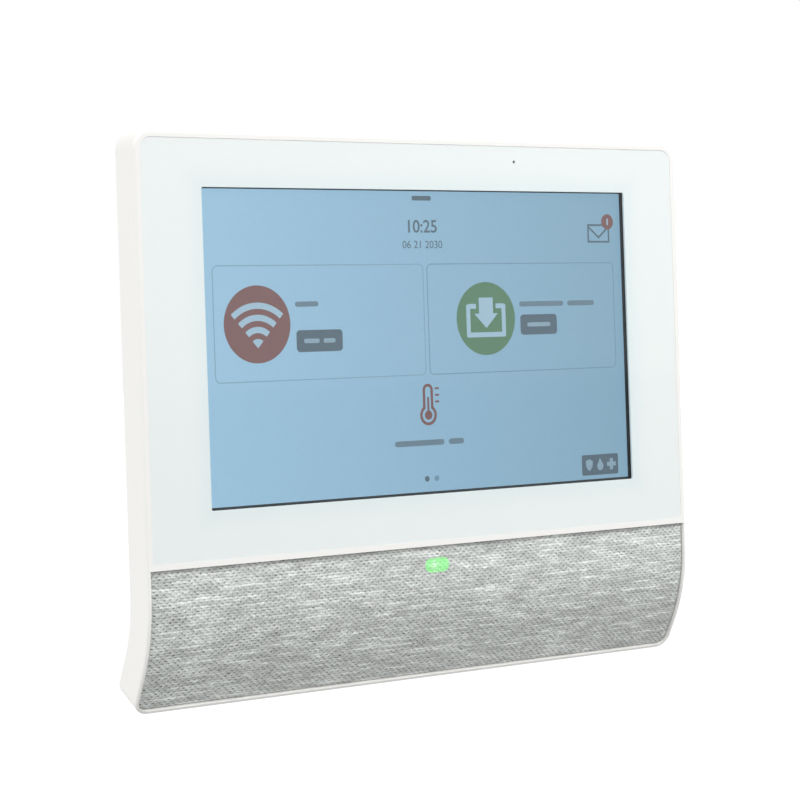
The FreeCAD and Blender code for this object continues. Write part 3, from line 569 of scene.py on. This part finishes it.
def cover_sheets(glass, ink):
    """The glass, and the print behind it with its window."""
    front = FRONT_Y + GLASS_FRONT
    back = front + GLASS_SEEN
    hole = circle(PINHOLE[0], PINHOLE[1], PINHOLE_R, 32)
    opening = bar(0, 0, 2 * WINDOW_HALF_W, 2 * WINDOW_HALF_H, WINDOW_R)
    window = [(x + WINDOW_X, WINDOW_Z + z) for x, z in opening]
    flat_sheet("glass_sheet", [glass_outline(), hole], front, back, "cover_glass", glass)
    flat_sheet("border_coat", [glass_outline(-PRINT_OUTSET), window, hole], back + PRINT_BEHIND,
               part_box("border_print")[1].y, "border_print", ink)


# Screen drawing, on flat plates in front of the display

def plate(name, shapes, level, material):
    """Thin plates, each from a closed outline, or from an outer and an inner one with equal point counts."""
    build = bmesh.new()
    front = PICTURE_Y - level * LAYER
    for shape in shapes:
        rings = shape if isinstance(shape[0][0], (tuple, list)) else (shape,)
        layers = [[build.verts.new((x * MM, y, WINDOW_Z + z * MM)) for x, z in ring]
                  for ring in rings for y in (front, front + PLATE_T)]
        count = len(layers[0])
        if len(rings) == 1:
            build.faces.new(layers[0])
            build.faces.new(reversed(layers[1]))
            pairs = ((0, 1),)
        else:
            pairs = ((0, 1), (3, 2), (2, 0), (1, 3))
        for a, b in pairs:
            for k in range(count):
                n = (k + 1) % count
                build.faces.new((layers[a][k], layers[b][k], layers[b][n], layers[a][n]))
    bmesh.ops.recalc_face_normals(build, faces=build.faces)
    mesh = bpy.data.meshes.new(name)
    build.to_mesh(mesh)
    build.free()
    piece = new_object(name, mesh)
    give(piece, material)


def arc(x, z, radius, start, end, steps=24):
    angles = [math.radians(start + (end - start) * k / steps) for k in range(steps + 1)]
    return [(x + radius * math.cos(a), z + radius * math.sin(a)) for a in angles]


def circle(x, z, radius, steps=64):
    return arc(x, z, radius, 0, 360 * (steps - 1) / steps, steps - 1)


def bar(x, z, width, height, radius=None):
    """A rounded rectangle round its centre."""
    radius = min(width, height) / 2 if radius is None else radius
    points = []
    for side_x, side_z, start in ((1, 1, 0), (-1, 1, 90), (-1, -1, 180), (1, -1, 270)):
        points += arc(x + side_x * (width / 2 - radius), z + side_z * (height / 2 - radius), radius,
                      start, start + 90, 8)
    return points


def outline(x, z, width, height, radius, line):
    inner = max(radius - line, 0.05)
    return (bar(x, z, width, height, radius), bar(x, z, width - 2 * line, height - 2 * line, inner))


def sector(x, z, inside, outside, start, end):
    return arc(x, z, outside, start, end) + arc(x, z, inside, end, start)


def stroke(x0, z0, x1, z1, line):
    """A straight line of a width, with square ends."""
    length = math.hypot(x1 - x0, z1 - z0)
    nx, nz = (z1 - z0) / length * line / 2, (x0 - x1) / length * line / 2
    return [(x0 + nx, z0 + nz), (x1 + nx, z1 + nz), (x1 - nx, z1 - nz), (x0 - nx, z0 - nz)]


def line_of_bars(z, height, *spans):
    """A stand-in for a line of writing: a round-ended bar for each word, from left to right edge."""
    return [bar((left + right) / 2, z, right - left, height) for left, right in spans]


def numerals(name, body, x, z, height, weight, material):
    """Generic numerals in a plain face."""
    text = bpy.data.curves.new(name, "FONT")
    text.body = body
    text.align_x, text.align_y = "CENTER", "CENTER"
    text.extrude = PLATE_T / 2
    text.offset = weight
    mesh = mesh_of(name + "_text", text)
    top, low = (pick(v.co.y for v in mesh.vertices) for pick in (max, min))
    left, right = (pick(v.co.x for v in mesh.vertices) for pick in (min, max))
    size = height * MM / (top - low)
    for vertex in mesh.vertices:
        across, up, deep = vertex.co
        vertex.co = (x * MM + (across - (left + right) / 2) * size, PICTURE_Y - 2 * LAYER - deep,
                     WINDOW_Z + z * MM + (up - (top + low) / 2) * size)
    mesh.update()
    piece = new_object(name, mesh)
    give(piece, material)


def screen_picture():
    left, right, low, high = (edge / MM for edge in PICTURE)
    area = [(left, low), (right, low), (right, high), (left, high)]
    plate("screen_background", [area], 0, lit_picture())


def screen_cards(colours):
    plate("card_outline_left", [outline(-37.6, 6.85, 74.0, 33.7, 1.8, 0.28)], 1, colours["line"])
    plate("card_outline_right", [outline(37.45, 6.85, 73.7, 33.7, 1.8, 0.28)], 1, colours["dim_line"])
    plate("card_disc_red", [circle(-59.95, 6.6, 11.25)], 1, colours["red"])
    plate("card_disc_green", [circle(22.6, 6.65, 11.25)], 1, colours["green"])


def wireless_sign(colours):
    x, z = -59.95, -0.3
    right, left = 48, 132
    radii = ((11.4, 13.2), (7.9, 9.7), (4.4, 6.2))
    rings = [sector(x, z, inside, outside, right, left) for inside, outside in radii]
    wedge = arc(x, z, 2.7, right, left) + [(x, z)]
    plate("wireless_arcs", rings + [wedge], 2, colours["pale"])


def download_sign(colours):
    x, z, line = 22.6, 6.1, 1.5
    frame_lines = [stroke(x - 7.3, z - 4.4, x + 7.3, z - 4.4, line)]
    for side in (-1, 1):
        frame_lines.append(stroke(x + side * 6.8, z - 4.9, x + side * 6.8, z + 4.9, line))
    frame_lines.append(stroke(x - 6.8, z + 4.4, x - 3.8, z + 4.4, line))
    frame_lines.append(stroke(x + 3.8, z + 4.4, x + 6.8, z + 4.4, line))
    arrow = [(x - 2.7, z + 7.0), (x + 2.7, z + 7.0), (x + 2.7, z + 2.1), (x + 4.5, z + 2.1), (x, z - 2.4),
             (x - 4.5, z + 2.1), (x - 2.7, z + 2.1)]
    plate("download_tray", frame_lines, 2, colours["pale"])
    plate("download_arrow", [arrow], 3, colours["pale"])


def screen_writing(colours):
    words = line_of_bars(12.2, 1.5, (-46.9, -38.8))
    words += line_of_bars(10.9, 1.6, (35.7, 53.3), (54.9, 65.8))
    words += line_of_bars(-30.4, 1.7, (-13.1, 5.2), (6.9, 12.6))
    plate("label_bars", words, 1, colours["word"])
    numerals("clock_digits", "10:25", -0.4, 35.0, 3.9, 0.012, colours["ink"])
    numerals("date_digits", "06 21 2030", -0.6, 29.5, 2.3, 0.0, colours["ink"])


def screen_buttons(colours):
    buttons = [bar(-38.7, 1.4, 16.1, 6.4, 1.2), bar(43.2, 4.45, 14.5, 6.3, 1.2)]
    plate("button_plates", buttons, 1, colours["button"])
    words = line_of_bars(1.4, 1.3, (-44.2, -38.8), (-37.4, -33.2))
    words += line_of_bars(4.45, 1.3, (38.6, 47.8))
    plate("button_bars", words, 2, colours["label"])


def mail_sign(colours):
    x, z = 68.6, 32.9
    plate("mail_frame", [outline(x, z, 9.0, 5.9, 0.3, 0.6)], 1, colours["ink"])
    flap = [(x - 4.3, z + 2.6), (x, z - 0.9), (x + 4.3, z + 2.6), (x + 4.3, z + 1.9), (x, z - 1.7),
            (x - 4.3, z + 1.9)]
    plate("mail_flap", [flap], 2, colours["ink"])
    plate("mail_badge", [circle(72.3, 36.6, 2.45, 40)], 3, colours["red"])
    plate("mail_badge_mark", [bar(72.3, 36.6, 0.5, 2.1, 0.1)], 4, colours["pale"])


def thermometer_sign(colours):
    """A plain thermometer, upright."""
    x, z = -0.4, -18.7
    tube = arc(x, z + 4.2, 1.9, 0, 180) + arc(x, z - 3.4, 3.1, 128, 412)
    inner = arc(x, z + 4.2, 1.0, 0, 180) + arc(x, z - 3.4, 2.2, 118, 422)
    plate("thermometer_outline", [(tube, inner)], 1, colours["red"])
    plate("thermometer_bulb", [circle(x, z - 3.4, 1.4, 32), bar(x, z - 0.6, 0.7, 5.4)], 2, colours["red"])
    ticks = [bar(x + 3.4, z + dz, 1.6, 0.6) for dz in (4.6, 2.6, 0.6)]
    plate("thermometer_ticks", ticks, 1, colours["red"])


def status_signs(colours):
    z = -40.7
    plate("status_plate", [bar(66.2, z, 14.9, 6.5, 0.6)], 1, colours["button"])
    x = 61.7
    shield = [(x - 1.4, z + 1.3), (x, z + 1.9), (x + 1.4, z + 1.3), (x + 1.3, z - 0.3), (x + 0.8, z - 1.2),
              (x, z - 1.9), (x - 0.8, z - 1.2), (x - 1.3, z - 0.3)]
    x = 66.2
    drop = [(x - 0.1, z + 2.1), (x + 0.7, z + 0.8), (x + 1.3, z - 0.2), (x + 1.1, z - 1.2),
            (x + 0.4, z - 1.8), (x - 0.4, z - 1.8), (x - 1.1, z - 1.2), (x - 1.3, z - 0.2),
            (x - 0.8, z + 0.6)]
    x, arm, half = 70.8, 1.8, 0.65
    cross = [(x - half, z + arm), (x + half, z + arm), (x + half, z + half), (x + arm, z + half),
             (x + arm, z - half), (x + half, z - half), (x + half, z - arm), (x - half, z - arm),
             (x - half, z - half), (x - arm, z - half), (x - arm, z + half), (x - half, z + half)]
    plate("status_shield", [shield], 2, colours["label"])
    plate("status_flame", [drop], 2, colours["label"])
    plate("status_cross", [cross], 2, colours["label"])


def screen_marks(colours):
    plate("pull_handle", [bar(-0.45, 43.5, 7.1, 1.4, 0.5)], 1, colours["button"])
    plate("page_dot_now", [circle(-1.65, -41.3, 0.85, 28)], 1, colours["ink"])
    plate("page_dot_next", [circle(1.95, -41.3, 0.85, 28)], 1, colours["faint"])


def screen():
    colours = {
        "ink": lit("drawn_ink", srgb(84, 104, 117)),
        "button": lit("drawn_button", srgb(83, 103, 117)),
        "red": lit("drawn_red", srgb(124, 88, 88)),
        "green": lit("drawn_green", srgb(88, 128, 100)),
        "pale": lit("drawn_pale", srgb(160, 190, 210)),
        "line": lit("drawn_line", srgb(127, 160, 184)),
        "dim_line": lit("drawn_dim_line", srgb(112, 144, 167)),
        "faint": lit("drawn_faint", srgb(112, 145, 170)),
        "word": lit("drawn_word", srgb(104, 128, 144)),
        "label": lit("drawn_label", srgb(138, 164, 182)),
    }
    screen_picture()
    for draw in (screen_cards, wireless_sign, download_sign, screen_writing, screen_buttons, mail_sign,
                 thermometer_sign, status_signs, screen_marks):
        draw(colours)


# Finishes of the CAD nodes

def finish_nodes():
    white = moulded("housing_plastic", (0.875, 0.868, 0.845, 1), 0.40, 2200, 0.012, 0.006)
    cover = moulded("cover_plastic", (0.80, 0.795, 0.775, 1), 0.5, 1500, 0.03, 0.01)
    plate_grey = moulded("plate_plastic", (0.36, 0.37, 0.38, 1), 0.55, 1300, 0.04)
    frame_grey = moulded("frame_plastic", (0.26, 0.27, 0.27, 1), 0.55)
    black = moulded("black_foam", (0.02, 0.02, 0.022, 1), 0.8, 900, 0.06)
    chip = moulded("chip_epoxy", (0.025, 0.025, 0.027, 1), 0.55)
    silicone = moulded("black_silicone", (0.03, 0.03, 0.032, 1), 0.6)
    amber = moulded("flex_film", (0.42, 0.17, 0.03, 1), 0.25)
    ivory = moulded("ivory_nylon", (0.68, 0.63, 0.48, 1), 0.45)
    green_nylon = moulded("green_nylon", (0.02, 0.17, 0.06, 1), 0.42)
    wrap = moulded("battery_film", (0.05, 0.12, 0.26, 1), 0.3)
    milky = moulded("milky_plastic", (0.78, 0.82, 0.78, 1), 0.4)
    acetal = moulded("white_acetal", (0.76, 0.76, 0.74, 1), 0.3)
    button = moulded("button_plastic", (0.14, 0.145, 0.15, 1), 0.4)
    dark_glass = moulded("display_glass", (0.065, 0.071, 0.077, 1), 0.2, 2400, 0.002)
    paper = moulded("pressed_paper", (0.035, 0.035, 0.038, 1), 0.8, 1200, 0.08)
    steel = brushed("tinned_steel", (0.62, 0.62, 0.63))
    bright = brushed("zinc_steel", (0.58, 0.58, 0.60), 0.28)
    alloy = brushed("cast_alloy", (0.5, 0.51, 0.53), 0.42, along="Z")
    board = circuit_board("board_green", (0.02, 0.14, 0.05))
    card = circuit_board("board_blue", (0.01, 0.04, 0.16))
    glass = clear_sheet("cover_glass", (0.985, 0.995, 0.992, 1), 0.03)
    film = clear_sheet("sensor_film", (0.99, 0.995, 0.995, 1), 0.05, 0.3)
    finishes = {
        white: ("front_housing",), cover: ("rear_cover",), plate_grey: ("wall_plate",),
        frame_grey: ("grille_frame",), film: ("touch_sensor",), dark_glass: ("lcd_panel",),
        black: ("glass_adhesive", "display_gasket", "speaker_gasket", "battery_pad"),
        silicone: ("mic_boot", "speaker_surround"), paper: ("speaker_cone",),
        chip: ("board_chips", "tamper_switch", "reset_switch", "speaker_basket"),
        amber: ("lcd_flex", "touch_flex", "antennas"), ivory: ("board_connectors",),
        green_nylon: ("terminal_block",), wrap: ("battery_pack",), milky: ("light_pipe", "status_led"),
        acetal: ("tamper_plunger",), button: ("reset_button",),
        steel: ("shield_cans", "radio_module", "mic_capsule", "backlight_unit", "tamper_spring"),
        bright: ("rear_screws", "frame_screws", "board_screws", "terminal_screws", "speaker_magnet"),
        alloy: ("mid_frame", "heat_spreader"), board: ("main_board", "mic_board", "led_board"),
        card: ("radio_card",),
    }
    for material, names in finishes.items():
        for name in names:
            give(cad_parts[name], material)
    cover_sheets(glass, white_ink())


# Stage, light and camera

def pale_floor():
    tree = Tree("pale_floor")
    position = tree.position()
    behind = tree.node("ShaderNodeSeparateXYZ", {"Vector": position}).outputs[1]
    mottle = tree.noise(position, 40, 3)
    tree.set(Base_Color=tree.mix(mottle, (0.42, 0.42, 0.42, 1), (0.44, 0.44, 0.44, 1)), Roughness=0.9)
    tree.set(Emission_Color=(1, 1, 1, 1))
    tree.set(Emission_Strength=tree.ramp(behind, GLOW_FROM, GLOW_TO, 0, FLOOR_GLOW))
    return tree.material


def stage():
    """A wide pale floor, lit brighter behind the object, under a white sky."""
    mesh = bpy.data.meshes.new("floor")
    level = CAD_BOX[0].z - FLOOR_BELOW
    corners = [(x * FLOOR_REACH, y * FLOOR_REACH, level) for x, y in ((-1, -1), (1, -1), (1, 1), (-1, 1))]
    mesh.from_pydata(corners, [], [(0, 1, 2, 3)])
    floor = bpy.data.objects.new("floor", mesh)
    bpy.context.scene.collection.objects.link(floor)
    floor.data.materials.append(pale_floor())
    world = bpy.data.worlds.new("sky")
    bpy.context.scene.world = world
    world.use_nodes = True
    nodes, links = world.node_tree.nodes, world.node_tree.links
    seen = nodes.new("ShaderNodeLightPath").outputs["Is Camera Ray"]
    strength = nodes.new("ShaderNodeMapRange")
    strength.inputs["To Min"].default_value = SKY_LIGHT
    strength.inputs["To Max"].default_value = 1.0
    links.new(seen, strength.inputs["Value"])
    nodes["Background"].inputs["Color"].default_value = (1, 1, 1, 1)
    links.new(strength.outputs[0], nodes["Background"].inputs["Strength"])


def softbox(name, place, aim, width, height, power):
    light = bpy.data.lights.new(name, "AREA")
    light.shape = "RECTANGLE"
    light.size, light.size_y = width, height
    light.energy = power
    lamp = bpy.data.objects.new(name, light)
    lamp.location = place
    lamp.rotation_mode = "QUATERNION"
    lamp.rotation_quaternion = (Vector(aim) - Vector(place)).to_track_quat("-Z", "Y")
    bpy.context.scene.collection.objects.link(lamp)


def lights():
    middle = (0, -0.01, 0)
    softbox("key", (0.53, -0.55, 0.90), middle, 0.9, 0.9, 12.6)
    softbox("side", (-1.5, -0.55, 0.85), middle, 1.2, 1.2, 13.8)


def camera():
    """Level with the panel, left of its middle, looking a little to the right of straight at the wall."""
    data = bpy.data.cameras.new("camera")
    data.sensor_width = 36
    data.lens = 105.3
    data.shift_y = -0.0743
    eye = bpy.data.objects.new("camera", data)
    bpy.context.scene.collection.objects.link(eye)
    right = Vector((0.81828, -0.57387, -0.03318)).normalized()
    up = Vector((0.02615, -0.02049, 0.99945)).normalized()
    back = right.cross(up).normalized()
    up = back.cross(right)
    turn = Matrix((right, up, back)).transposed()
    eye.matrix_world = Matrix.Translation((-0.41713, -0.60516, 0.01822)) @ turn.to_4x4()
    bpy.context.scene.camera = eye


def view_settings():
    scene = bpy.context.scene
    scene.view_settings.view_transform = "Standard"
    scene.view_settings.look = "None"


finish_nodes()
speaker_cloth()
screen()
stage()
lights()
camera()
view_settings()
